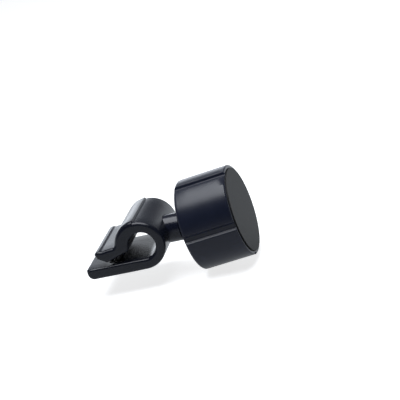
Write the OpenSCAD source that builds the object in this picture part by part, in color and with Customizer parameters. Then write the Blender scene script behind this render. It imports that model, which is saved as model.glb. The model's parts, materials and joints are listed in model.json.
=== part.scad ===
// Magnetic holder that clips on the vane of a car's air vent.
// The origin is where a vane lies in the clip's mouth. X runs along the stem towards the head,
// Y runs along the vane, and Z is up.

/* [Clip] */
// Width of the clip, along the vane
clip_w = 21.4; // [18:0.2:24]
// Thickness of the clip's wall, the same all round
strap_t = 3.4; // [2.8:0.1:4]
// Outer radius of the clip's ring
ring_r = 7.5; // [6.8:0.1:8.6]
// From the ring's centre to the tip of the base plate
base_reach = 18.4; // [16:0.2:22]
// From the ring's centre to the tip of the jaw
jaw_reach = 14; // [12:0.5:15.5]
// Gap between the base plate and the jaw where the mouth is narrowest, which sets the jaw's slope
mouth_gap = 1.05; // [0.7:0.05:1.6]
// Height of the jaw's knee above the ring's centre
knee_up = 0.4; // [0.2:0.1:0.8]
// Length of the lead-in under the jaw's tip, from the mouth's narrowest line
lead_l = 2.8; // [2.4:0.1:3.4]
// Angle of the lead-in from the jaw's underside
lead_angle = 45; // [35:1:50]
// Height of the lip that the jaw's tip is turned up to
lip_h = 1; // [0.4:0.1:1.2]
// Length of the lip
lip_l = 2.2; // [1.8:0.1:2.6]
// Radius of the rounded edges along the clip's two ends
edge_r = 1; // [0.3:0.1:1.2]
// Radius of the corners of both plates, seen from above
corner_r = 1.6; // [0.8:0.2:3]
// Radius at the tips of both plates, seen from the side
tip_r = 0.6; // [0.4:0.1:0.7]
// Radius under the base plate's tip
nose_r = 2; // [1.4:0.1:2.1]
// Height of the raised saddle over the ring's jaw side
saddle_h = 0.5; // [0.3:0.1:1]
// Angle on the ring at which the saddle begins, from the stem upwards
saddle_from = 92; // [80:1:110]

/* [Grip strips] */
// Length of both grip strips, across the vane
strip_l = 3.2; // [2.6:0.1:3.3]
// Width of both grip strips, along the vane
strip_w = 16.4; // [12:0.2:17.6]
// Thickness of a strip's sheet, which lies flush in its recess
strip_t = 0.6; // [0.4:0.1:0.8]
// Number of round ribs on a strip
rib_n = 3; // [2:1:3]
// Radius of a rib, which stands half out of its strip
rib_r = 0.3; // [0.2:0.05:0.35]
// Play round a strip in its recess
strip_play = 0.05; // [0.02:0.01:0.1]
// From the mouth's narrowest line back to the middle of the strips
strip_back = 1.2; // [1:0.1:2]
// Width of the jaw's underside between its strip and the lead-in
strip_margin = 0.2; // [0.1:0.05:0.4]

/* [Ball stud] */
// Diameter of the ball
ball_d = 10; // [9:0.2:11]
// Diameter of the stem
stem_d = 8.5; // [7:0.1:9]
// Diameter of the neck behind the ball
neck_d = 5.2; // [4.4:0.1:5.4]
// From the ball's centre to the end of the neck
neck_l = 7; // [6.6:0.1:7.6]
// Length of the cone from the neck to the stem
neck_cone_l = 1.6; // [1:0.1:2]
// From the ring's centre to the ball's centre
stud_l = 18.3; // [17.5:0.1:22]
// Diameter of the tail that passes through the ring's wall
tail_d = 4; // [3:0.1:4.4]
// Diameter of the barb on the tail's end
barb_d = 5.2; // [4.8:0.1:5.6]
// Length of the barb
barb_l = 1.2; // [0.9:0.1:1.4]
// Width of the slit that lets the barb spring in
slit_w = 0.8; // [0.5:0.1:1.2]
// Play of the tail in its bore, on the radius
tail_play = 0.06; // [0.03:0.01:0.1]
// Play of the stem's shoulder and of the barb against the ring's wall
seat_play = 0.05; // [0.02:0.01:0.1]

/* [Head] */
// Outer diameter of the head
head_d = 27.6; // [26:0.2:30]
// Thickness of the head, from its back to the front of its pad
head_h = 16.5; // [16.3:0.1:18]
// Wall of the head's side
head_wall = 1.9; // [1.6:0.1:2.2]
// Thickness of the head's back wall
back_t = 1.7; // [1.4:0.1:1.9]
// Radius of the head's back edge
back_r = 1.2; // [0.6:0.1:1.5]
// From the head's back to the ball's centre
ball_depth = 4.35; // [4.2:0.05:4.6]
// Number of grooves in the head's side
groove_n = 5; // [3:1:8]
// Width of a groove
groove_w = 2.6; // [1.6:0.1:3.4]
// Depth of a groove
groove_depth = 0.7; // [0.3:0.1:0.9]
// Angle of the first groove round the head
groove_from = 52.5; // [0:0.5:72]
// Tilt of the head at rest, front face upwards
rest_tilt = 6; // [0:0.1:12]
// Largest tilt of the head from the stem
tilt_max = 25; // [20:1:25]

/* [Socket] */
// Wall of the socket liner at the ball's middle
liner_wall = 1.5; // [1.2:0.05:1.8]
// Play between the ball and its socket, on the radius
ball_play = 0.08; // [0.04:0.01:0.1]
// Play between the liner and the shell's tube, on the radius
liner_play = 0.1; // [0.05:0.01:0.1]
// From the head's back to the front end of the liner
liner_end = 8; // [7.6:0.1:8.2]
// Number of slits in the liner's back lip
liner_slit_n = 6; // [4:1:8]
// Width of such a slit
liner_slit_w = 0.8; // [0.4:0.1:1.2]
// Wall of the shell's tube round the liner
tube_wall = 1; // [0.8:0.1:1.4]
// Thickness of the friction pad at its rim
friction_t = 2.1; // [1.8:0.1:2.3]
// Height of the spring washer
washer_h = 0.7; // [0.5:0.05:0.8]
// Thickness of the spring washer's sheet
washer_t = 0.35; // [0.2:0.05:0.45]
// Radius of the spring washer's hole
washer_hole_r = 3; // [2:0.1:4]
// Small gap between pieces that only touch
touch_gap = 0.03; // [0.01:0.01:0.05]

/* [Retaining plate and screws] */
// Thickness of the retaining plate
plate_t = 1; // [0.8:0.1:1.2]
// Number of retaining screws and of their bosses
screw_n = 3; // [3:1:3]
// Radius of a screw's shank
screw_r = 0.6; // [0.5:0.05:0.7]
// Radius of a screw's countersunk head
screw_head_r = 1.1; // [0.9:0.05:1.2]
// Height of a screw's countersunk head
screw_head_h = 0.6; // [0.4:0.05:0.75]
// Length of a screw
screw_l = 5; // [3:0.5:6]
// Play of a screw in its holes, on the radius
screw_play = 0.04; // [0.02:0.01:0.08]
// Radius of a screw's boss
boss_r = 1.5; // [1.2:0.1:1.8]
// Thickness of the web that ties a boss to the tube and to the side wall
web_t = 1.2; // [0.8:0.1:1.5]
// Width of the plate outside a screw's countersunk head
plate_edge = 0.4; // [0.3:0.1:0.8]

/* [Magnets] */
// Diameter of a magnet
magnet_d = 6; // [5:0.1:6.2]
// Thickness of a magnet
magnet_t = 2.2; // [1.6:0.1:2.2]
// Width of the carrier outside a magnet's pocket
magnet_edge = 1.15; // [0.6:0.05:1.4]
// Least gap between neighbouring magnets, which sets how many there are
magnet_gap = 0.8; // [0.6:0.1:1.2]
// Play round a magnet in its pocket, on the radius
magnet_play = 0.05; // [0.02:0.01:0.1]
// Thickness of the steel yoke behind the magnets
yoke_t = 0.8; // [0.5:0.1:0.8]
// Play of the yoke, the carrier and the plate in the shell, on the radius
disc_play = 0.1; // [0.05:0.01:0.2]
// Thickness of the face pad
pad_t = 1.1; // [0.8:0.1:1.2]
// Height that the face pad stands out of the shell
pad_proud = 0.4; // [0.2:0.1:0.5]
// Width of the shell's rim round the face pad
rim_w = 1; // [0.8:0.1:1.3]

/* [Hidden] */
$fn = 64;

// Clip
wall_r = ring_r - strap_t / 2;               // middle of the ring's wall
eye_r = ring_r - strap_t;                    // inside of the ring
strip_at = jaw_reach - lead_l - strip_back;  // middle of the strips, from the ring's centre
ring_x = strip_at;                           // ring's centre, from the vane's place
ring_z = eye_r + rib_r;
// The jaw's underside is a tangent to its knee that ends on the mouth's narrowest line
knee_x = sqrt(wall_r ^ 2 - knee_up ^ 2);      // from the ring's centre to the knee's
knee_turn = asin(knee_up / wall_r);
narrow_x = jaw_reach - lead_l - knee_x;      // from the knee's centre to that line
narrow_z = knee_up + eye_r - mouth_gap;
narrow_d = sqrt(narrow_x ^ 2 + narrow_z ^ 2);
jaw_flat = sqrt(narrow_d ^ 2 - (strap_t / 2) ^ 2);
jaw_slope = atan(narrow_z / narrow_x) - asin(strap_t / 2 / narrow_d);
jaw_l = (jaw_reach - knee_x) / cos(jaw_slope);
strip_corner_r = 0.8;
strip_recess = strip_t + strip_play;
jaw_strip_at = jaw_flat - strip_margin - strip_l / 2;

// Stud, measured from the ball's centre along the stem
spot_play = 0.1;
barb_taper = 0.3;                             // the barb's end is thinner than the tail
slit_from = 0.8;                              // the slit starts this far past the shoulder
ball_r = ball_d / 2;
stem_r = stem_d / 2;
neck_r = neck_d / 2;
tail_r = tail_d / 2;
barb_r = barb_d / 2;
spot_r = stem_r + spot_play;                  // flat seat cut in the ring for the shoulder
inner_spot_r = barb_r + spot_play;            // flat seat inside the eye for the barb
seat_out = sqrt(ring_r ^ 2 - stem_r ^ 2);     // flats that the shoulder and the barb sit on,
seat_in = eye_r + spot_play;                  // from the ring's centre
shoulder_s = stud_l - seat_out - seat_play;
barb_s = stud_l - seat_in + seat_play;

// Head, measured from its back along its own axis
head_r = head_d / 2;
ball_x = ring_x + stud_l;
ball_z = ring_z;
shell_h = head_h - pad_proud;
pocket_r = head_r - head_wall;
socket_r = ball_r + ball_play;
liner_r = socket_r + liner_wall;
tube_r = liner_r + liner_play;
liner_back = back_t + touch_gap;
pad_back = liner_end + touch_gap;
washer_back = pad_back + friction_t + touch_gap;
plate_back = washer_back + washer_h + touch_gap;
yoke_back = plate_back + plate_t + touch_gap;
carrier_back = yoke_back + yoke_t + touch_gap;
face_back = head_h - pad_t;
carrier_front = face_back - touch_gap;
rim_r = head_r - rim_w;
disc_r = pocket_r - disc_play;
boss_ring_r = disc_r - plate_edge - screw_head_r - screw_play;
magnet_ring_r = disc_r - magnet_edge - magnet_play - magnet_d / 2;
magnet_n = floor(180 / asin((magnet_d + magnet_gap) / 2 / magnet_ring_r));
pilot_extra = 0.5;                            // the bosses' holes are deeper than the screws
slot_w = 0.3;
slot_t = 0.35;
// The neck at full tilt sets how wide the shell opens behind the ball
neck_angle = asin(neck_r / ball_r) + tilt_max;
mouth_play = 0.35;
mouth_back_r = ball_depth * tan(tilt_max) + neck_r / cos(tilt_max) + mouth_play;
mouth_lip_r = (ball_depth - back_t) * tan(neck_angle) + mouth_play;
big = 60;
eps = 0.01;

// Flat outline with four round corners, centred
module round_rect(w, h, r) {
    square([w - 2 * r, h], center = true);
    square([w, h - 2 * r], center = true);
    for (x = [-1, 1], y = [-1, 1]) translate([x * (w / 2 - r), y * (h / 2 - r)]) circle(r);
}

// Puts a shape drawn in the clip's side view (x along X, y up, z across) in its place
module side_view() translate([ring_x, 0, ring_z]) rotate([90, 0, 0]) children();

// Straight stretch of the clip's strap, from x = 0, its middle on the x axis
module strap_run(l) rotate([0, 90, 0]) linear_extrude(l) round_rect(clip_w, strap_t, edge_r);

// Round stretch of the strap about the origin
module strap_bend(from, turn) {
    rotate_extrude(angle = turn, start = from) translate([wall_r, 0]) round_rect(strap_t, clip_w, edge_r);
}

// Round knee at the foot of the ring's wall, as thick as the strap
module strap_knee() {
    rotate_extrude() intersection() {
        round_rect(strap_t, clip_w, edge_r);
        translate([0, -clip_w / 2]) square([strap_t / 2, clip_w]);
    }
}

// Outline of a plate from above, from x = -l to 0, which rounds the corners at its tip
module plan(l) {
    rotate([90, 0, 0]) linear_extrude(big, center = true)
        translate([-l / 2 + corner_r, 0]) round_rect(l + 2 * corner_r, clip_w, corner_r);
}

// Side outline of the base plate, its tip with a large radius below and a small one above
module base_outline(l) {
    translate([nose_r - l, -strap_t / 2]) square([l - nose_r, strap_t - tip_r]);
    translate([-l, nose_r - strap_t / 2]) square([l, strap_t - nose_r - tip_r]);
    translate([tip_r - l, nose_r - strap_t / 2]) square([l - tip_r, strap_t - nose_r]);
    translate([nose_r - l, nose_r - strap_t / 2]) circle(nose_r);
    translate([tip_r - l, strap_t / 2 - tip_r]) circle(tip_r);
}

module base_plate(l) {
    intersection() {
        translate([-l, 0, 0]) strap_run(l);
        linear_extrude(big, center = true) base_outline(l);
        plan(l);
    }
}

// Jaw along the x axis, its tip turned up to a lip and cut away below to a lead-in
module jaw_plate(l) {
    lip_end = lip_l + lip_h;
    intersection() {
        union() {
            translate([-l, 0, 0]) strap_run(l);
            intersection() {
                translate([-l, lip_h / 2, 0]) rotate([0, 90, 0]) linear_extrude(lip_end)
                    round_rect(clip_w, strap_t + lip_h, edge_r);
                translate([-l, strap_t / 2, 0]) linear_extrude(big, center = true)
                    polygon([[0, -strap_t], [0, lip_h], [lip_l, lip_h], [lip_end, 0], [lip_end, -strap_t]]);
            }
        }
        linear_extrude(big, center = true) difference() {
            translate([tip_r - l / 2, lip_h / 2]) round_rect(l + 2 * tip_r, strap_t + lip_h, tip_r);
            translate([-jaw_flat, -strap_t / 2]) rotate(-lead_angle) translate([-big, -big]) square(big);
        }
        plan(l);
    }
}

// Places the knee where the ring's wall ends, and the jaw, whose foot is at the knee and which falls to its tip
module knee_place() translate([-knee_x, knee_up, 0]) children();
module jaw_place() knee_place() rotate([0, 0, jaw_slope]) children();

// Grip strip with its sheet's top at y = 0 and its ribs standing out of it, along the clip's width
module grip_strip() {
    rotate([90, 0, 0]) linear_extrude(strip_t) round_rect(strip_l, strip_w, strip_corner_r);
    rib_w = strip_w - 2 * strip_corner_r;
    pitch = strip_l / (rib_n + 0.5);
    for (i = [0:rib_n - 1])
        translate([(i - (rib_n - 1) / 2) * pitch, 0, 0]) cylinder(r = rib_r, h = rib_w, center = true);
}

// The recess that a grip strip lies in
module strip_recess_cut() {
    translate([0, 1, 0]) rotate([90, 0, 0]) linear_extrude(strip_recess + 1)
        round_rect(strip_l + 2 * strip_play, strip_w + 2 * strip_play, strip_corner_r + strip_play);
}

// Places of the two strips, each with its own outside towards +y
module base_strip_place() translate([-strip_at, -eye_r, 0]) children();
module jaw_strip_place() {
    jaw_place() translate([-jaw_strip_at, -strap_t / 2, 0]) rotate([180, 0, 0]) children();
}

module clip_body() {
    color([0.13, 0.14, 0.17]) difference() {
        side_view() {
            translate([0, -wall_r, 0]) base_plate(base_reach);
            strap_bend(-90, 270 - knee_turn);
            saddle_t = saddle_h + 2 * edge_r;
            rotate_extrude(angle = 180 - saddle_from, start = saddle_from)
                translate([ring_r + saddle_h - saddle_t / 2, 0]) round_rect(saddle_t, clip_w, edge_r);
            knee_place() rotate([0, 0, -knee_turn]) strap_knee();
            jaw_place() jaw_plate(jaw_l);
        }
        side_view() {
            base_strip_place() strip_recess_cut();
            jaw_strip_place() strip_recess_cut();
        }
        stud_place() {
            // Bore through the ring's wall, and a flat seat at each of its ends
            translate([0, 0, shoulder_s]) cylinder(r = tail_r + tail_play, h = barb_s - shoulder_s);
            cylinder(r = spot_r, h = stud_l - seat_out);
            translate([0, 0, stud_l - seat_in]) cylinder(r = inner_spot_r, h = seat_in);
        }
    }
}

module jaw_pad() {
    color([0.08, 0.08, 0.09]) side_view() jaw_strip_place() grip_strip();
}

module base_pad() {
    color([0.08, 0.08, 0.09]) side_view() base_strip_place() grip_strip();
}

// Puts a shape with the ball's centre at its origin and the tail towards +Z in its place
module stud_place() translate([ball_x, 0, ball_z]) rotate([0, -90, 0]) children();

module ball_stud() {
    color([0.24, 0.25, 0.28]) stud_place() difference() {
        union() {
            sphere(ball_r);
            cylinder(r = neck_r, h = neck_l);
            translate([0, 0, neck_l]) cylinder(r1 = neck_r, r2 = stem_r, h = neck_cone_l);
            translate([0, 0, neck_l + neck_cone_l]) cylinder(r = stem_r, h = shoulder_s - neck_l - neck_cone_l);
            translate([0, 0, shoulder_s - eps]) cylinder(r = tail_r, h = barb_s - shoulder_s + 2 * eps);
            translate([0, 0, barb_s]) cylinder(r1 = barb_r, r2 = tail_r - barb_taper, h = barb_l);
        }
        translate([-slit_w / 2, -barb_d, shoulder_s + slit_from]) cube([slit_w, 2 * barb_d, stud_l]);
    }
}

// Puts a shape drawn along the head's own axis, its back at z = 0, in its place
module head_place() {
    translate([ball_x, 0, ball_z]) rotate([0, 90 - rest_tilt, 0]) translate([0, 0, -ball_depth]) children();
}

// Copies a shape to each screw's place
module at_screws() {
    for (i = [0:screw_n - 1]) rotate([0, 0, i * 360 / screw_n]) translate([boss_ring_r, 0, 0]) children();
}

module socket_liner() {
    color([0.82, 0.81, 0.77]) head_place() difference() {
        translate([0, 0, liner_back]) cylinder(r = liner_r, h = liner_end - liner_back);
        translate([0, 0, ball_depth]) sphere(socket_r);
        translate([0, 0, ball_depth]) cylinder(r = socket_r, h = big);
        for (i = [0:liner_slit_n - 1]) rotate([0, 0, i * 360 / liner_slit_n])
            translate([0, -liner_slit_w / 2, 0]) cube([liner_r + 1, liner_slit_w, ball_depth]);
    }
}

module head_shell() {
    color([0.12, 0.13, 0.16]) head_place() difference() {
        union() {
            rotate_extrude() difference() {
                union() {
                    square([head_r - back_r, shell_h]);
                    translate([0, back_r]) square([head_r, shell_h - back_r]);
                    translate([head_r - back_r, back_r]) circle(back_r);
                }
                // Front pocket and the recess of the face pad
                translate([0, plate_back]) square([pocket_r, big]);
                translate([0, face_back]) square([rim_r, big]);
                // Ring-shaped hollow round the socket's tube
                translate([tube_r + tube_wall, back_t]) square([pocket_r - tube_r - tube_wall, big]);
                // Bore of the socket's tube
                translate([0, back_t]) square([tube_r, big]);
                // Mouth behind the ball, wide enough for the neck at full tilt
                polygon([[0, -1], [mouth_back_r, -1], [mouth_back_r, 0], [mouth_lip_r, back_t + eps],
                         [0, back_t + eps]]);
            }
            intersection() {
                at_screws() translate([0, 0, back_t / 2]) {
                    boss_h = plate_back - back_t / 2;
                    cylinder(r = boss_r, h = boss_h);
                    web_l = 2 * (pocket_r - tube_r);
                    translate([-web_l / 2, -web_t / 2, 0]) cube([web_l, web_t, boss_h]);
                }
                difference() {
                    cylinder(r = head_r - head_wall / 2, h = big);
                    translate([0, 0, -1]) cylinder(r = tube_r + tube_wall / 2, h = big);
                }
            }
        }
        at_screws() translate([0, 0, plate_back + plate_t - screw_l - pilot_extra])
            cylinder(r = screw_r + screw_play, h = big);
        // Grooves down the whole side
        for (i = [0:groove_n - 1]) rotate([0, 0, groove_from + i * 360 / groove_n])
            translate([head_r - groove_depth, -groove_w / 2, -1]) cube([groove_depth + 1, groove_w, big]);
    }
}

module friction_pad() {
    color([0.2, 0.2, 0.2]) head_place() difference() {
        translate([0, 0, pad_back]) cylinder(r = tube_r - disc_play, h = friction_t);
        translate([0, 0, ball_depth]) sphere(socket_r);
    }
}

module spring_washer() {
    washer_r = tube_r - disc_play;
    color([0.72, 0.73, 0.75]) head_place() translate([0, 0, washer_back]) rotate_extrude() polygon([
        [washer_r, 0], [washer_r, washer_t], [washer_hole_r, washer_h], [washer_hole_r, washer_h - washer_t]]);
}

module retaining_plate() {
    color([0.16, 0.16, 0.17]) head_place() difference() {
        translate([0, 0, plate_back]) cylinder(r = disc_r, h = plate_t);
        at_screws() {
            translate([0, 0, plate_back - 1]) cylinder(r = screw_r + screw_play, h = big);
            translate([0, 0, plate_back + plate_t - screw_head_h])
                cylinder(r1 = screw_r + screw_play, r2 = screw_head_r + screw_play, h = screw_head_h + eps);
        }
    }
}

module retaining_screw(i) {
    top = plate_back + plate_t;
    color([0.66, 0.67, 0.69]) head_place() rotate([0, 0, (i - 1) * 360 / screw_n])
        translate([boss_ring_r, 0, 0]) difference() {
            union() {
                translate([0, 0, top - screw_l]) cylinder(r = screw_r, h = screw_l - eps);
                translate([0, 0, top - screw_head_h]) cylinder(r1 = screw_r, r2 = screw_head_r, h = screw_head_h);
            }
            // Cross slot
            for (a = [0, 90]) rotate([0, 0, a]) translate([-screw_head_r * 0.6, -slot_w / 2, top - slot_t])
                cube([screw_head_r * 1.2, slot_w, 1]);
        }
}

module yoke_plate() {
    color([0.7, 0.71, 0.73]) head_place() translate([0, 0, yoke_back]) cylinder(r = disc_r, h = yoke_t);
}

// Copies a shape to one magnet's place
module at_magnet(i) rotate([0, 0, (i - 0.5) * 360 / magnet_n]) translate([magnet_ring_r, 0, 0]) children();

module magnet_carrier() {
    color([0.14, 0.14, 0.15]) head_place() difference() {
        translate([0, 0, carrier_back]) cylinder(r = disc_r, h = carrier_front - carrier_back);
        for (i = [1:magnet_n]) at_magnet(i) translate([0, 0, carrier_back - 1])
            cylinder(r = magnet_d / 2 + magnet_play, h = magnet_t + magnet_play + 1);
    }
}

module magnet(i) {
    color([0.78, 0.79, 0.8]) head_place() at_magnet(i)
        translate([0, 0, carrier_back]) cylinder(d = magnet_d, h = magnet_t);
}

module face_pad() {
    color([0.1, 0.1, 0.11]) head_place() translate([0, 0, face_back]) cylinder(r = rim_r - disc_play, h = pad_t);
}

clip_body();
jaw_pad();
base_pad();
ball_stud();
socket_liner();
head_shell();
friction_pad();
spring_washer();
retaining_plate();
for (i = [1:screw_n]) retaining_screw(i);
yoke_plate();
magnet_carrier();
for (i = [1:magnet_n]) magnet(i);
face_pad();
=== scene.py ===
"""Air vent holder: a spring clip, a ball stud and a round magnetic head, all in black plastic."""
import json
import math

import bmesh
import bpy
import numpy as np
from mathutils import Matrix, Vector


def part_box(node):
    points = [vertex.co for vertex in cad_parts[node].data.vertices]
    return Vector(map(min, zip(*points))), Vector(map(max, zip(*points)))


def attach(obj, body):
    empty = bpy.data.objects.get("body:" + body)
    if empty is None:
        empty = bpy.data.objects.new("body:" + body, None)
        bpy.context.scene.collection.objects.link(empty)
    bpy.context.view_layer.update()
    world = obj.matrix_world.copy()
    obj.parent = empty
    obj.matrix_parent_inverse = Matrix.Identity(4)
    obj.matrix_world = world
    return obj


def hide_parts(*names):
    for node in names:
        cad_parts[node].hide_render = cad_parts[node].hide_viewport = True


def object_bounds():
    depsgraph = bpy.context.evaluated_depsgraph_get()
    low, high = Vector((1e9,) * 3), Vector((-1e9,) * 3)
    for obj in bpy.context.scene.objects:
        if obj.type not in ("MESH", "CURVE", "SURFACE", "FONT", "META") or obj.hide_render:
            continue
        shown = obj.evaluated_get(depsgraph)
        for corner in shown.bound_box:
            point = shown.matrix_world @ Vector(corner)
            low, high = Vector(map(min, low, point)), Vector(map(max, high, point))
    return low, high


MM = 0.001

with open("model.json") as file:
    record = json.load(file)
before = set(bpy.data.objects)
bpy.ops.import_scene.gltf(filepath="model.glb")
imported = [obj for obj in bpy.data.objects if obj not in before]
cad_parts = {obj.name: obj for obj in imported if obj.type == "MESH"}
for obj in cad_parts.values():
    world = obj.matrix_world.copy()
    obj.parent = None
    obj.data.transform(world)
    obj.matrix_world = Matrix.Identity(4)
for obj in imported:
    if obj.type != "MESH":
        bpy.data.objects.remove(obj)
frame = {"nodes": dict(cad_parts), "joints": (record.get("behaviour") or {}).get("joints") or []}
cad_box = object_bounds()
nodes = frame["nodes"]
joints = {joint["name"]: joint for joint in frame["joints"]}

# Lengths in mm. The frame gives the ball's centre, the head's axis and the clip's box
BALL = np.array(joints["head_spin"]["pos_m"]) / MM
HEAD_AXIS = np.array(joints["head_spin"]["axis"])
clip_low, clip_high = (np.array(corner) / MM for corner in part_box("clip_body"))
CLIP_HALF = (clip_high[1] - clip_low[1]) / 2
# The CAD model's ring, its wall, the way from ring to ball, and the stem
RING_R = 7.5
WALL = 3.4
STUD_L = 18.3
STEM_R = 4.25
RING = np.array([BALL[0] - STUD_L, 0, clip_low[2] + RING_R])
# The eye, whose centre lies a little nearer the stem than the ring's
EYE_R = RING_R - WALL
EYE_X = 0.45
# Where the stem's shoulder and the barb meet the ring's wall, as distances from the ball's centre
PLAY = 0.05
SHOULDER = STUD_L - math.sqrt(RING_R ** 2 - STEM_R ** 2) - PLAY
BARB = STUD_L - EYE_X - EYE_R + PLAY
TO_RING = np.array([-1.0, 0, 0])
# The head's shell: its radius, and how far the ball's centre and the retaining plate lie from its back
HEAD_R = 13.8
BALL_HEIGHT = 4.35
PLATE_BACK = 10.93
HEAD_SIDE = np.array([0.0, 1.0, 0.0])
HEAD_UP = np.cross(HEAD_SIDE, HEAD_AXIS)


# Materials
def linear(hex_code):
    """sRGB hex to the linear colour that the shader sockets take."""
    parts = [int(hex_code[i:i + 2], 16) / 255 for i in (1, 3, 5)]
    return tuple(c / 12.92 if c <= 0.04045 else ((c + 0.055) / 1.055) ** 2.4 for c in parts) + (1,)


def add(tree, kind, inputs=None, **settings):
    """Adds one node with its settings. Its inputs are socket: value, or socket: (node, output) for a link."""
    made = tree.nodes.new(kind)
    for name, value in settings.items():
        setattr(made, name, value)
    for socket, given in (inputs or {}).items():
        if isinstance(given, tuple) and isinstance(given[0], bpy.types.Node):
            tree.links.new(given[0].outputs[given[1]], made.inputs[socket])
        else:
            made.inputs[socket].default_value = given
    return made


def blank(name):
    """New material and its emptied node tree."""
    mat = bpy.data.materials.new(name)
    mat.use_nodes = True
    mat.node_tree.nodes.clear()
    return mat, mat.node_tree


# The Mix node's two colour inputs and its colour output go by number, because other sockets share their names
COLOUR_A, COLOUR_B, MIXED = 6, 7, 2


def moulded(name, colour, worn, rough, grain_mm, grain_depth, wave=0.0):
    """Injection-moulded plastic. Two greys drift into each other over a few millimetres, as regrind and
    handling leave them. A fine spark-eroded grain breaks up the gloss, and slow sink waves bend the
    highlights."""
    drift_mm, wave_mm, spread = 7, 5, 0.06
    mat, tree = blank(name)
    place = add(tree, "ShaderNodeTexCoord")
    drift, grain, sink = (
        add(tree, "ShaderNodeTexNoise", {
            "Vector": (place, "Object"), "Scale": 1 / (size * MM), "Detail": detail})
        for size, detail in ((drift_mm, 3), (grain_mm, 2), (wave_mm, 0)))
    tone = add(tree, "ShaderNodeMix", {
        "Factor": (drift, "Fac"), COLOUR_A: linear(colour), COLOUR_B: linear(worn)}, data_type="RGBA")
    gloss = add(tree, "ShaderNodeMapRange", {
        "Value": (drift, "Fac"), "To Min": rough - spread, "To Max": rough + spread})
    slow = add(tree, "ShaderNodeBump", {"Height": (sink, "Fac"), "Strength": 1, "Distance": wave * MM})
    fine = add(tree, "ShaderNodeBump", {
        "Height": (grain, "Fac"), "Normal": (slow, "Normal"), "Strength": 1, "Distance": grain_depth * MM})
    body = add(tree, "ShaderNodeBsdfPrincipled", {
        "Base Color": (tone, MIXED), "Roughness": (gloss, "Result"), "Normal": (fine, "Normal"), "IOR": 1.53})
    add(tree, "ShaderNodeOutputMaterial", {"Surface": (body, "BSDF")})
    return mat


# ABS from a spark-eroded mould, half gloss: black with a blue cast, soft highlights that waver slightly
clip_plastic = moulded("abs_semi_gloss_black", "#161922", "#1b1f2b", 0.24, 0.2, 0.003, wave=0.004)
# Nylon without glass fibre, from a polished mould: smoother and darker, with a sharper highlight
stud_plastic = moulded("nylon_smooth_black", "#151826", "#1a1e30", 0.22, 0.15, 0.003)
# ABS from a finer mould texture: the blue cast is stronger and the highlight broad and even
shell_plastic = moulded("abs_satin_black", "#161b2a", "#1c2134", 0.3, 0.2, 0.004, wave=0.02)
# ABS as it leaves a plain mould, for parts that nobody sees: greyer, duller and rougher
inner_plastic = moulded("abs_plain_mould_black", "#17181b", "#1f2023", 0.45, 0.3, 0.01)
# Acetal in its natural colour, moulded and self-lubricating: waxy off-white that lets a little light in
liner_plastic = moulded("acetal_natural", "#e2e0d6", "#d6d3c6", 0.38, 0.4, 0.003)
liner_skin = liner_plastic.node_tree.nodes["Principled BSDF"]
liner_skin.inputs["Subsurface Weight"].default_value = 0.25
liner_skin.inputs["Subsurface Scale"].default_value = 0.8 * MM
liner_skin.inputs["Subsurface Radius"].default_value = (1.0, 0.9, 0.7)


def rubber(name, colour, dusty, rough, grain_mm, grain_depth, dust_share):
    """Moulded rubber: matt and dark, with a fine grain, and pale dust that clings to it in small spots."""
    dust_mm, spread = 0.5, 0.08
    mat, tree = blank(name)
    place = add(tree, "ShaderNodeTexCoord")
    dust = add(tree, "ShaderNodeTexNoise", {
        "Vector": (place, "Object"), "Scale": 1 / (dust_mm * MM), "Detail": 4})
    grain = add(tree, "ShaderNodeTexVoronoi", {"Vector": (place, "Object"), "Scale": 1 / (grain_mm * MM)})
    spots = add(tree, "ShaderNodeMapRange", {
        "Value": (dust, "Fac"), "From Min": 1 - dust_share, "From Max": 1 - dust_share / 2})
    tone = add(tree, "ShaderNodeMix", {
        "Factor": (spots, "Result"), COLOUR_A: linear(colour), COLOUR_B: linear(dusty)}, data_type="RGBA")
    bump = add(tree, "ShaderNodeBump", {
        "Height": (grain, "Distance"), "Strength": 1, "Distance": grain_depth * MM})
    gloss = add(tree, "ShaderNodeMapRange", {
        "Value": (dust, "Fac"), "To Min": rough - spread, "To Max": rough + spread})
    body = add(tree, "ShaderNodeBsdfPrincipled", {
        "Base Color": (tone, MIXED), "Roughness": (gloss, "Result"), "Normal": (bump, "Normal"), "IOR": 1.52})
    add(tree, "ShaderNodeOutputMaterial", {"Surface": (body, "BSDF")})
    return mat


# Soft thermoplastic rubber strips: matt black, they hardly shine, so the ribs read as soft
grip_rubber = rubber("soft_rubber_black", "#141416", "#2c2c2e", 0.72, 0.25, 0.006, 0.45)
# Silicone sheet, calendered: an even fine tooth that looks velvety and holds a little dust
face_rubber = rubber("silicone_sheet_black", "#121316", "#26272a", 0.66, 0.3, 0.012, 0.42)
# Nitrile rubber pad dusted with talc at assembly: dark grey and dry
friction_rubber = rubber("nitrile_rubber_grey", "#262627", "#58585a", 0.8, 0.35, 0.01, 0.5)


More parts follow.
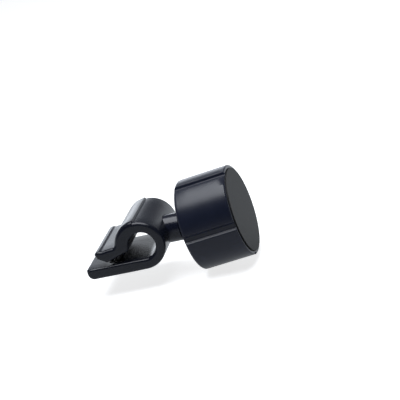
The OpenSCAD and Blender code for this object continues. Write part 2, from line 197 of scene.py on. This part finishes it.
def metal(name, light, dark, rough, spread, streak, patch_mm, depth):
    """Metal whose tone and gloss vary in patches that the streak's lengths in mm draw out along X, Y and Z.
    Its crystals or clouds are about patch_mm across."""
    mat, tree = blank(name)
    place = add(tree, "ShaderNodeTexCoord")
    drawn = add(tree, "ShaderNodeMapping", {
        "Vector": (place, "Object"), "Scale": [1 / (length * MM) for length in streak]})
    lines = add(tree, "ShaderNodeTexNoise", {"Vector": (drawn, "Vector"), "Scale": 1, "Detail": 4})
    patch = add(tree, "ShaderNodeTexVoronoi", {"Vector": (place, "Object"), "Scale": 1 / (patch_mm * MM)})
    both = add(tree, "ShaderNodeMath", {0: (lines, "Fac"), 1: (patch, "Distance")}, operation="MULTIPLY")
    tone = add(tree, "ShaderNodeMix", {
        "Factor": (both, "Value"), COLOUR_A: linear(light), COLOUR_B: linear(dark)}, data_type="RGBA")
    gloss = add(tree, "ShaderNodeMapRange", {
        "Value": (lines, "Fac"), "To Min": rough - spread, "To Max": rough + spread})
    bump = add(tree, "ShaderNodeBump", {"Height": (lines, "Fac"), "Strength": 1, "Distance": depth * MM})
    body = add(tree, "ShaderNodeBsdfPrincipled", {
        "Base Color": (tone, MIXED), "Roughness": (gloss, "Result"), "Normal": (bump, "Normal"),
        "Metallic": 1})
    add(tree, "ShaderNodeOutputMaterial", {"Surface": (body, "BSDF")})
    return mat


# Rolled spring strip, hardened and tempered: fine lines along the rolling, with a straw tint from the heat
spring_steel = metal("tempered_strip_steel", "#bdb8ae", "#8d857a", 0.28, 0.08, (0.2, 6, 0.2), 1.2, 0.002)
# Cold-headed screws, zinc plated: small and bluish bright, with a slight cloudiness
screw_steel = metal("zinc_plated_screw_steel", "#c3c6cc", "#8c9099", 0.3, 0.1, (0.5, 0.5, 0.5), 0.4, 0.002)
# Punched sheet, zinc plated: dull bright, with crystals of about a millimetre that catch the light apart
yoke_steel = metal("zinc_plated_sheet_steel", "#b7babf", "#85888e", 0.36, 0.1, (0.3, 5, 0.3), 1.0, 0.003)
# Pressed and sintered magnets, nickel plated: a warm mirror, softened by the grain under the plating
magnet_plating = metal("nickel_plate", "#d2cdc4", "#a8a298", 0.16, 0.05, (0.3, 0.3, 0.3), 0.5, 0.001)


# Meshes
def arc(cx, cz, r, start, end):
    """Points on a circle about (cx, cz) from the angle start to end in degrees, about two degrees apart."""
    turn = np.radians(np.linspace(start, end, max(6, int(abs(end - start) / 2))))
    return np.stack([cx + r * np.cos(turn), cz + r * np.sin(turn)], 1)


def smooth_loop(runs, soft):
    """Closed curve through runs of (points, edge radius), its corners softened over about soft mm.

    The raw loop is cut into equal steps and each coordinate is filtered with a round-going Gaussian, whose
    factor at frequency f is exp(-2 (pi soft f)^2), and the edge radii with one four times as wide. Returns
    1024 points, outward normals (z', -x') and edge radii.
    """
    steps, count = 4096, 1024
    raw = np.concatenate([points for points, _ in runs])
    edge = np.concatenate([np.full(len(points), value) for points, value in runs])
    closed = np.vstack([raw, raw[:1]])
    along = np.concatenate([[0], np.cumsum(np.hypot(*np.diff(closed, axis=0).T))])
    fine = np.linspace(0, along[-1], steps, endpoint=False)
    channels = np.stack([np.interp(fine, along, np.append(c, c[0])) for c in (raw[:, 0], raw[:, 1], edge)])
    frequency = np.fft.fftfreq(steps, along[-1] / steps)
    wide = np.array([soft, soft, 4 * soft])[:, None]
    spectrum = np.fft.fft(channels) * np.exp(-2 * (np.pi * wide * frequency) ** 2)
    x, z, edge = np.fft.ifft(spectrum).real
    tangent = np.fft.ifft(spectrum[:2] * 2j * np.pi * frequency).real
    tangent /= np.hypot(*tangent)
    pick = np.arange(count) * steps // count
    return np.stack([x, z], 1)[pick], np.stack([tangent[1], -tangent[0]], 1)[pick], edge[pick]


def inset(points, normals, depth):
    """The loop moved inwards by depth. Where the moved loop would cross itself, at a corner tighter than
    depth, its points are spread between the last sound ones on either side."""
    slack = 0.02
    moved = points - normals * depth[:, None]
    gap = np.sqrt(((moved[:, None] - points[None]) ** 2).sum(2)).min(1)
    sound = np.flatnonzero(gap > depth - slack)
    index = np.arange(len(points))
    return np.stack([np.interp(index, sound, moved[sound, k], period=len(points)) for k in (0, 1)], 1)


def quads(rows, columns):
    """Corner indices of the faces between neighbouring rows of a grid whose last column joins its first."""
    a = np.arange(rows * columns).reshape(rows, columns)
    b = np.roll(a, -1, axis=1)
    return np.stack([a[:-1], b[:-1], b[1:], a[1:]], -1).reshape(-1, 4)


def shade(mesh):
    """Smooth shading, but for edges over 35 degrees."""
    mesh.polygons.foreach_set("use_smooth", np.ones(len(mesh.polygons), bool))
    mesh.set_sharp_from_angle(angle=math.radians(35))


def solid(name, points, faces, material):
    """Object from an array of points in mm and lists of corner indices."""
    mesh = bpy.data.meshes.new(name)
    mesh.from_pydata((points * MM).tolist(), [], faces)
    mesh.materials.append(material)
    shade(mesh)
    made = bpy.data.objects.new(name, mesh)
    bpy.context.scene.collection.objects.link(made)
    return made


def outward(piece):
    """Turns all faces of a closed piece to point outwards."""
    work = bmesh.new()
    work.from_mesh(piece.data)
    bmesh.ops.recalc_face_normals(work, faces=work.faces)
    work.to_mesh(piece.data)
    work.free()
    return piece


def rounded_slab(name, loop, half, material):
    """Solid between y = -half and half whose side view is the loop and whose two ends have rounded edges.

    At the angle p of an edge of radius e, the loop is inset by e (1 - cos p) and lies at
    half - e (1 - sin p).
    """
    points, normals, edge = loop
    turn = np.radians(np.linspace(90, 0, 10))
    near = [(inset(points, normals, edge * (1 - math.cos(p))), half - edge * (1 - math.sin(p)))
            for p in turn]
    near += [(points, (half - edge) * share) for share in (0.6, 0.2)]
    rows = near + [(at, -y) for at, y in reversed(near)]
    grid = np.stack([np.stack([at[:, 0], y, at[:, 1]], 1) for at, y in rows])
    faces = quads(len(rows), len(points)).tolist()
    last = (len(rows) - 1) * len(points)
    faces.append(list(range(len(points)))[::-1])
    faces.append(list(range(last, last + len(points))))
    return solid(name, grid.reshape(-1, 3), faces, material)


def turned(name, section, centre, axis, material, count=96):
    """Solid turned about an axis through the centre, from points (height along the axis, radius).

    At the angle a a point is centre + height * axis + radius * (cos a * u + sin a * v), where u and v are
    square to the axis, which isn't along Y. Its two ends are flat.
    """
    axis = axis / np.linalg.norm(axis)
    v = np.cross(axis, [0, 1.0, 0])
    v /= np.linalg.norm(v)
    u = np.cross(v, axis)
    a = np.linspace(0, 2 * np.pi, count, endpoint=False)
    ring = np.cos(a)[:, None] * u + np.sin(a)[:, None] * v
    heights, radii = np.asarray(section, float).T
    grid = centre + heights[:, None, None] * axis + radii[:, None, None] * ring
    faces = quads(len(heights), count)[:, ::-1].tolist()
    last = (len(heights) - 1) * count
    faces.append(list(range(count)))
    faces.append(list(range(last, last + count))[::-1])
    return outward(solid(name, grid.reshape(-1, 3), faces, material))


def extruded(name, outline, shift, material):
    """Solid that the flat outline sweeps when it moves by the shift."""
    grid = np.stack([outline, outline + shift])
    count = len(outline)
    faces = quads(2, count).tolist() + [list(range(count))[::-1], list(range(count, 2 * count))]
    return outward(solid(name, grid.reshape(-1, 3), faces, material))


def cut(piece, *tools):
    """Takes the tools out of the piece for good, and the tools out of the scene."""
    for tool in tools:
        step = piece.modifiers.new("cut", "BOOLEAN")
        step.operation, step.solver, step.object = "DIFFERENCE", "EXACT", tool
    graph = bpy.context.evaluated_depsgraph_get()
    mesh = bpy.data.meshes.new_from_object(piece.evaluated_get(graph))
    piece.modifiers.clear()
    piece.data = mesh
    shade(mesh)
    for tool in tools:
        bpy.data.objects.remove(tool)


# The clip. Places in its side view are (x, z) from the ring's centre. The jaw slopes down from its foot
FOOT = np.array([-5.8, 0.4])
SLOPE = math.radians(17.2)
JAW_OUT = np.array([-math.cos(SLOPE), -math.sin(SLOPE)])
JAW_UP = np.array([-math.sin(SLOPE), math.cos(SLOPE)])
JAW_UNDER = -1.7


def jaw(*places):
    """Places (s along the jaw from its foot, t above its middle) in the side view."""
    return np.array([FOOT + s * JAW_OUT + t * JAW_UP for s, t in places])


def clip_loop():
    """Side view of the clip. Its runs, each with its edge radius, are the base plate's nose and underside,
    the ring, the saddle, the jaw's top, lip, end and underside, the knee, the eye, and the base plate's top
    and tip."""
    reach, nose, tip, base_root = 18.4, 2.1, 0.5, -4.0
    bottom = -RING_R - 0.1
    saddle = RING_R + 0.5
    jaw_l, top, lip = 8.58, 1.7, 1.0
    knee_r = 1.5
    knee_x = EYE_X - EYE_R - knee_r
    runs = [
        (arc(nose - reach, nose + bottom, nose, 180, 270), 1.0),
        (np.array([[nose - reach, bottom], [base_root, bottom]]), 1.2),
        (arc(0, 0, RING_R, -88, 92), 1.05),
        (arc(0, 0, saddle, 92.3, 166), 1.5),
        (jaw((2.1, top - 0.25), (jaw_l - 2.5, top + 0.48)), 1.0),
        (jaw((jaw_l - 1.9, top + lip - 0.15), (jaw_l - 0.8, top + lip)), 0.8),
        (jaw((jaw_l, top + lip - 0.45), (jaw_l, 0.7)), 1.4),
        (jaw((jaw_l - 2.35, JAW_UNDER), (1.2, JAW_UNDER)), 1.1),
        (arc(knee_x, FOOT[1], knee_r, -70, 0), 1.1),
        (arc(EYE_X, 0, EYE_R, 176, -90), 1.0),
        (np.array([[base_root, -EYE_R], [2 * tip - reach, -EYE_R]]), 0.7),
        (arc(tip - reach, -EYE_R - tip, tip, 90, 180), 1.2),
    ]
    points, normals, edges = smooth_loop(runs, 0.12)
    return points + RING[[0, 2]], normals, edges


def strip_cutter(name, middle, along, inwards):
    """Block with rounded corners that cuts the recess of a grip strip. The middle, along and inwards are
    given in the side view, and the block starts 1 mm outside the surface."""
    length, width, deep, corner_r, outside = 3.3, 16.5, 0.65, 0.85, 1
    x, y = length / 2 - corner_r, width / 2 - corner_r
    flat = np.concatenate([arc(x, y, corner_r, 0, 90), arc(-x, y, corner_r, 90, 180),
                           arc(-x, -y, corner_r, 180, 270), arc(x, -y, corner_r, 270, 360)])
    across = np.array([0, 1.0, 0])
    middle, along, inwards = (np.array([place[0], 0, place[1]]) for place in (middle, along, inwards))
    outline = RING + middle - outside * inwards + flat[:, :1] * along + flat[:, 1:] * across
    return extruded(name, outline, inwards * (outside + deep), clip_plastic)


def bore(name, start, end, radius):
    """Round cutter about the stem's axis, from start to end as distances from the ball's centre."""
    return turned(name, [(start, radius), (end, radius)], BALL, TO_RING, clip_plastic)


clip = rounded_slab("clip_skin", clip_loop(), CLIP_HALF, clip_plastic)
base_strip, jaw_strip = (-10.0, -EYE_R), jaw((4.39, JAW_UNDER))[0]
outside_ring, tail_end, barb_end = 8, STUD_L - 3.0, STUD_L - 2.0
tail_bore_r, stem_seat_r, barb_seat_r = 2.06, STEM_R + 0.1, 2.7
cut(clip,
    strip_cutter("base_recess", base_strip, (1, 0), (0, -1)),
    strip_cutter("jaw_recess", jaw_strip, JAW_OUT, JAW_UP),
    bore("tail_bore", outside_ring, tail_end, tail_bore_r),
    bore("shoulder_seat", outside_ring, SHOULDER + PLAY, stem_seat_r),
    bore("barb_seat", BARB - PLAY, barb_end, barb_seat_r))
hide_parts("clip_body")
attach(clip, "clip")


# The stud
def stud_section():
    """Profile of the stud as (distance from the ball's centre towards the ring, radius): the ball, its neck,
    the stem with a rounded rim, its shoulder in the ring's wall, and the tail with its barb."""
    ball_r, neck_r, neck_end, fillet = 5.0, 2.6, 6.35, 0.4
    stem_from, rim_r, bevel = 7.2, 0.25, 0.12
    tail_r, barb_r, tip_r, barb_edge, barb_l = 2.0, 2.6, 1.7, 0.15, 1.2
    meet = math.sqrt(ball_r ** 2 - neck_r ** 2)
    turn = np.radians(np.linspace(2, 180 - math.degrees(math.asin(neck_r / ball_r)), 40))
    ball = np.stack([-ball_r * np.cos(turn), ball_r * np.sin(turn)], 1)
    neck = [(meet + fillet, neck_r), (neck_end, neck_r), (neck_end + 0.2, neck_r + 0.25)]
    edge = np.radians(np.linspace(0, 90, 6))
    rim = np.stack([stem_from + rim_r * (1 - np.cos(edge)), STEM_R - rim_r * (1 - np.sin(edge))], 1)
    shoulder = [(SHOULDER - bevel, STEM_R), (SHOULDER, STEM_R - bevel), (SHOULDER, tail_r)]
    tail = [(BARB, tail_r), (BARB, barb_r - barb_edge), (BARB + barb_edge, barb_r), (BARB + barb_l, tip_r)]
    return np.concatenate([ball, neck, rim, shoulder, tail])


stud = turned("stud_skin", stud_section(), BALL, TO_RING, stud_plastic)
slit_half, slit_high, slit_l, slit_from = 0.4, 4.0, 8.0, SHOULDER + 0.8
slit = np.array([[0, -slit_half, -slit_high], [0, slit_half, -slit_high],
                 [0, slit_half, slit_high], [0, -slit_half, slit_high]])
cut(stud, extruded("slit", BALL + slit_from * TO_RING + slit, slit_l * TO_RING, stud_plastic))
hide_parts("ball_stud")
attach(stud, "stud")


# The head
def shell_section():
    """Half section of the head's shell as (distance from the axis, height above the back). Of the smooth
    loop's points it keeps 150, closer together where the loop bends more."""
    shell_h, back_t, back_r = 16.1, 1.7, 1.1
    pocket_r, rim_r, face_back = 11.9, 12.8, 15.4
    tube_r, tube_out, mouth_r, mouth_back = 6.68, 7.68, 4.27, 5.25
    bevel, face_bevel, soft, kept, even = 0.12, 0.3, 0.05, 150, 0.05
    lines = (
        [[mouth_r, back_t], [mouth_back, bevel]],
        [[mouth_back + bevel, 0], [HEAD_R - back_r - bevel, 0]],
        arc(HEAD_R - back_r, back_r, back_r, -90, 0),
        [[HEAD_R, shell_h - face_bevel], [HEAD_R - face_bevel, shell_h]],
        [[rim_r, shell_h], [rim_r, face_back]],
        [[pocket_r, face_back], [pocket_r, back_t]],
        [[tube_out, back_t], [tube_out, PLATE_BACK]],
        [[tube_r, PLATE_BACK], [tube_r, back_t]],
    )
    points, _, _ = smooth_loop([(np.array(line), 0) for line in lines], soft)
    bend = np.hypot(*(np.roll(points, -1, 0) - 2 * points + np.roll(points, 1, 0)).T)
    weight = np.cumsum(even + bend / bend.mean())
    return points[np.searchsorted(weight, np.linspace(weight[0], weight[-1], kept, endpoint=False))]


def grooved_head():
    """The head's shell, turned about its axis, with grooves along its side.

    At the angle a the radius is at most HEAD_R - depth * S, where S rises smoothly from 0 to 1 over the
    groove's edge as 3u^2 - 2u^3, and u is the distance inside the edge divided by the edge's width. Angles
    are two degrees apart, with finer ones over each edge.
    """
    depth, half_width, edge, number, first = 0.8, 1.0, 0.9, 5, 52.5
    edge_from, edge_to, edge_steps, least = 1.4, 6.6, 18, 1e-4
    near = np.radians(np.concatenate([np.linspace(-edge_to, -edge_from, edge_steps),
                                      np.linspace(edge_from, edge_to, edge_steps)]))
    places = np.radians(first + 360 / number * np.arange(number))
    wide = np.radians(np.arange(0, 360, 2.0))
    angles = np.sort(np.concatenate([wide, (places[:, None] + near).ravel() % (2 * np.pi)]))
    angles = angles[np.append(np.diff(angles) > least, True)]
    off = (angles[:, None] - places + np.pi) % (2 * np.pi) - np.pi
    u = np.clip((half_width + edge / 2 - np.abs(off).min(1) * HEAD_R) / edge, 0, 1)
    limit = HEAD_R - depth * (3 * u ** 2 - 2 * u ** 3)
    section = shell_section()
    r = np.minimum(section[:, :1], limit[None])
    grid = (BALL + (section[:, 1:] - BALL_HEIGHT)[..., None] * HEAD_AXIS
            + r[..., None] * (np.cos(angles)[:, None] * HEAD_UP + np.sin(angles)[:, None] * HEAD_SIDE))
    rows, columns = r.shape
    faces = quads(rows + 1, columns) % (rows * columns)
    return solid("head_skin", grid.reshape(-1, 3), faces.tolist(), shell_plastic)


head = grooved_head()
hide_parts("head_shell")
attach(head, "head")


def screw_post(number):
    """Round post in the shell with webs to the tube and to the wall, and a hole down it for its screw. The
    three posts stand a third of a turn apart."""
    base, post_r, web, from_axis, web_from, web_to = 0.85, 1.5, 0.6, 10.26, 7.3, 12.3
    hole_r, hole_from, above = 0.64, 7.43, 1
    meet = math.degrees(math.asin(web / post_r))
    near, far = web_from - from_axis, web_to - from_axis
    outline = np.concatenate([
        [[near, -web]], arc(0, 0, post_r, 180 + meet, 360 - meet), [[far, -web], [far, web]],
        arc(0, 0, post_r, meet, 180 - meet), [[near, web]]])
    turn = math.radians(120 * number)
    outwards = math.cos(turn) * HEAD_UP + math.sin(turn) * HEAD_SIDE
    across = np.cross(HEAD_AXIS, outwards)
    centre = BALL + from_axis * outwards - BALL_HEIGHT * HEAD_AXIS
    points = centre + base * HEAD_AXIS + outline[:, :1] * outwards + outline[:, 1:] * across
    made = extruded(f"screw_post_{number + 1}", points, (PLATE_BACK - base) * HEAD_AXIS, shell_plastic)
    pilot = [(hole_from, hole_r), (PLATE_BACK + above, hole_r)]
    cut(made, turned("pilot", pilot, centre, HEAD_AXIS, shell_plastic, count=32))
    return made


for number in range(3):
    post = screw_post(number)
    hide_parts("head_shell")
    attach(post, "head")

# The CAD pieces that stay as they are, with their loose facets joined for shading
finishes = {
    "jaw_pad": grip_rubber, "base_pad": grip_rubber, "face_pad": face_rubber,
    "socket_liner": liner_plastic, "friction_pad": friction_rubber, "spring_washer": spring_steel,
    "retaining_plate": inner_plastic, "magnet_carrier": inner_plastic, "yoke_plate": yoke_steel,
    **{f"retaining_screw_{number}": screw_steel for number in (1, 2, 3)},
    **{f"magnet_{number}": magnet_plating for number in (1, 2, 3, 4, 5, 6)},
}
for name, finish in finishes.items():
    node = nodes[name]
    node.data.materials.clear()
    node.data.materials.append(finish)
    node.data.polygons.foreach_set("use_smooth", [True] * len(node.data.polygons))
    weld = node.modifiers.new("join_facets", "WELD")
    weld.merge_threshold = 0.001 * MM
    split = node.modifiers.new("keep_edges", "EDGE_SPLIT")
    split.split_angle = math.radians(30)


# Floor, light and camera
def white_paper():
    """Matt white paper. The camera sees it nearly plain white with a soft shadow. Reflections see it white
    behind the holder and grey in front of it: their light rises from 0.4 to 1.1 as Y goes from -15 to 30 mm.
    """
    mat, tree = blank("white_paper_sweep")
    path = add(tree, "ShaderNodeLightPath")
    paper = add(tree, "ShaderNodeBsdfDiffuse", {"Color": (0.85, 0.85, 0.85, 1)})
    glow = add(tree, "ShaderNodeEmission", {"Strength": 0.75})
    lit = add(tree, "ShaderNodeAddShader", {0: (paper, "BSDF"), 1: (glow, "Emission")})
    direct = add(tree, "ShaderNodeMath", {0: (path, "Is Camera Ray"), 1: (path, "Is Transmission Ray")},
                 operation="MAXIMUM")
    seen = add(tree, "ShaderNodeMixShader", {
        "Fac": (direct, "Value"), 1: (paper, "BSDF"), 2: (lit, "Shader")})
    place = add(tree, "ShaderNodeTexCoord")
    axes = add(tree, "ShaderNodeSeparateXYZ", {"Vector": (place, "Object")})
    back = add(tree, "ShaderNodeMapRange", {
        "Value": (axes, "Y"), "From Min": -15 * MM, "From Max": 30 * MM, "To Min": 0.4, "To Max": 1.1},
        interpolation_type="SMOOTHSTEP")
    mirrored = add(tree, "ShaderNodeEmission", {"Strength": (back, "Result"), "Color": (0.9, 0.95, 1.0, 1)})
    final = add(tree, "ShaderNodeMixShader", {
        "Fac": (path, "Is Glossy Ray"), 1: (seen, "Shader"), 2: (mirrored, "Emission")})
    add(tree, "ShaderNodeOutputMaterial", {"Surface": (final, "Shader")})
    return mat


low, high = cad_box
paper_half, paper_gap = 1.5, 0.2 * MM
floor_mesh = bpy.data.meshes.new("floor")
paper_corners = [(-paper_half, -paper_half, 0), (paper_half, -paper_half, 0),
                 (paper_half, 2 * paper_half, 0), (-paper_half, 2 * paper_half, 0)]
floor_mesh.from_pydata(paper_corners, [], [(0, 1, 2, 3)])
floor_mesh.materials.append(white_paper())
floor = bpy.data.objects.new("floor", floor_mesh)
floor.location.z = low.z - paper_gap
bpy.context.scene.collection.objects.link(floor)


def studio():
    """White wall behind, brightest low down and at the left, where a window stands, and a dark room in front.
    The camera sees it plain and pale.

    The light is (b + n) * w: b rises from 0 to 1 as the direction's Y goes from -0.35 to 0.35, n from 0.05 to
    1.6 as the cosine of the angle to the window goes from 0.86 to 0.98, and w falls from 1 to 0.16 as the
    direction's Z goes from 0.08 to 0.42.
    """
    to_window = Vector((-0.5, 0.86, 0.06)).normalized()
    world = bpy.data.worlds.new("studio")
    bpy.context.scene.world = world
    world.use_nodes = True
    tree = world.node_tree
    tree.nodes.clear()
    path = add(tree, "ShaderNodeLightPath")
    coord = add(tree, "ShaderNodeTexCoord")
    axes = add(tree, "ShaderNodeSeparateXYZ", {"Vector": (coord, "Generated")})
    aim = add(tree, "ShaderNodeVectorMath", {0: (coord, "Generated"), 1: to_window},
              operation="DOT_PRODUCT")
    behind, window, wall = (
        add(tree, "ShaderNodeMapRange", {
            "Value": source, "From Min": start, "From Max": end, "To Min": first, "To Max": last},
            interpolation_type="SMOOTHSTEP")
        for source, start, end, first, last in (
            ((axes, "Y"), -0.35, 0.35, 0.0, 1.0),
            ((aim, "Value"), 0.86, 0.98, 0.05, 1.6),
            ((axes, "Z"), 0.08, 0.42, 1.0, 0.16)))
    low_light = add(tree, "ShaderNodeMath", {0: (behind, "Result"), 1: (window, "Result")}, operation="ADD")
    level = add(tree, "ShaderNodeMath", {0: (low_light, "Value"), 1: (wall, "Result")}, operation="MULTIPLY")
    room = add(tree, "ShaderNodeBackground", {"Strength": (level, "Value"), "Color": (0.88, 0.93, 1.0, 1)})
    pale = add(tree, "ShaderNodeBackground", {"Strength": 1, "Color": (0.8, 0.8, 0.8, 1)})
    direct = add(tree, "ShaderNodeMath", {0: (path, "Is Camera Ray"), 1: (path, "Is Transmission Ray")},
                 operation="MAXIMUM")
    shown = add(tree, "ShaderNodeMixShader", {
        "Fac": (direct, "Value"), 1: (room, "Background"), 2: (pale, "Background")})
    add(tree, "ShaderNodeOutputWorld", {"Surface": (shown, "Shader")})


studio()

# One soft box over the holder, a little to the front, in metres and watts
lamp = bpy.data.lights.new("top_box", "AREA")
lamp.shape = "RECTANGLE"
lamp.size, lamp.size_y = 0.5, 0.42
lamp.energy = 2.8
lamp.color = (0.92, 0.95, 1.0)
box = bpy.data.objects.new("top_box", lamp)
box.location = (0.0, -0.05, 0.5)
box.rotation_euler = ((low + high) / 2 - box.location).to_track_quat("-Z", "Y").to_euler()
bpy.context.scene.collection.objects.link(box)

# The camera, fitted to the holder's outline by its place, its right and its forward direction
camera = bpy.data.cameras.new("camera")
camera.lens = 124.84
camera.sensor_width = 36
camera.clip_start = 10 * MM
view = bpy.data.objects.new("camera", camera)
place = Vector((129.19, -374.43, 137.68)) * MM
right = Vector((0.9484, 0.163, -0.2719)).normalized()
forward = Vector((-0.2468, 0.918, -0.3103))
forward = (forward - forward.dot(right) * right).normalized()
up = right.cross(forward)
view.matrix_world = Matrix.Translation(place) @ Matrix((right, up, -forward)).transposed().to_4x4()
bpy.context.scene.collection.objects.link(view)
bpy.context.scene.camera = view
bpy.context.scene.view_settings.view_transform = "Standard"
